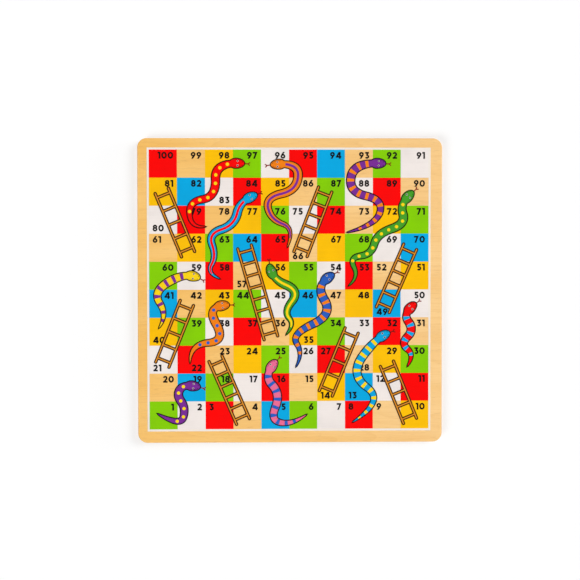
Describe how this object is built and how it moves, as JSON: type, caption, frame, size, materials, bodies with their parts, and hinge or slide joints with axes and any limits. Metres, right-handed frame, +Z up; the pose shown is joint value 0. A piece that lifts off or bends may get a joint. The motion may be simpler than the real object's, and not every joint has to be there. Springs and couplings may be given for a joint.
{
  "type": "snakes and ladders board",
  "caption": "Square plywood game board with rounded corners, its upper face printed with numbered coloured squares, snakes and ladders.",
  "frame": {"origin": "middle of the underside, on the plane the board lies on", "axes": "+Z up out of the printed face; +Y towards the row that ends at 100; +X along the rows, to the right as the numbers read"},
  "size_m": [0.29, 0.29, 0.0096],
  "materials": {
    "birch": "sanded and clear satin lacquer",
    "birch_cross": "sanded and clear satin lacquer",
    "ink_white": "satin printing ink",
    "ink_red": "satin printing ink",
    "ink_tan": "satin printing ink",
    "ink_yellow": "satin printing ink",
    "ink_green": "satin printing ink",
    "ink_blue": "satin printing ink",
    "ink_black": "satin printing ink",
    "ink_brown": "satin printing ink",
    "ink_purple": "satin printing ink",
    "ink_orange": "satin printing ink",
    "ink_navy": "satin printing ink",
    "ink_leaf": "satin printing ink",
    "ink_pink": "satin printing ink",
    "ink_lemon": "satin printing ink"
  },
  "bodies": {
    "root": {"back_veneer": "birch", "lower_long_ply": "birch", "upper_long_ply": "birch", "face_veneer": "birch", "lower_crossband": "birch_cross", "core_crossband": "birch_cross", "upper_crossband": "birch_cross", "ground_coat": "ink_white", "white_squares": "ink_white", "red_squares": "ink_red", "tan_squares": "ink_tan", "yellow_squares": "ink_yellow", "green_squares": "ink_green", "blue_squares": "ink_blue", "numbers_1_to_20": "ink_black", "numbers_21_to_40": "ink_black", "numbers_41_to_60": "ink_black", "numbers_61_to_80": "ink_black", "numbers_81_to_100": "ink_black", "ladder_outlines": "ink_black", "ladder_4": "ink_brown", "ladder_10": "ink_brown", "ladder_14": "ink_brown", "ladder_21": "ink_brown", "ladder_36": "ink_brown", "ladder_49": "ink_brown", "ladder_62": "ink_brown", "ladder_66": "ink_brown", "snake_outlines": "ink_black", "snake_tongues": "ink_red", "snake_eyes": "ink_white", "snake_pupils": "ink_black", "snake_19": "ink_purple", "snake_25": "ink_pink", "snake_32": "ink_blue", "snake_43": "ink_orange", "snake_50": "ink_red", "snake_54": "ink_navy", "snake_56": "ink_leaf", "snake_59": "ink_lemon", "snake_84": "ink_blue", "snake_90": "ink_leaf", "snake_92": "ink_purple", "snake_96": "ink_orange", "snake_97": "ink_red", "snake_19_markings": "ink_lemon", "snake_25_markings": "ink_navy", "snake_32_markings": "ink_lemon", "snake_43_markings": "ink_navy", "snake_50_markings": "ink_blue", "snake_54_markings": "ink_orange", "snake_56_markings": "ink_lemon", "snake_59_markings": "ink_purple", "snake_84_markings": "ink_red", "snake_90_markings": "ink_lemon", "snake_92_markings": "ink_orange", "snake_96_markings": "ink_purple", "snake_97_markings": "ink_lemon"}
  },
  "joints": []
}
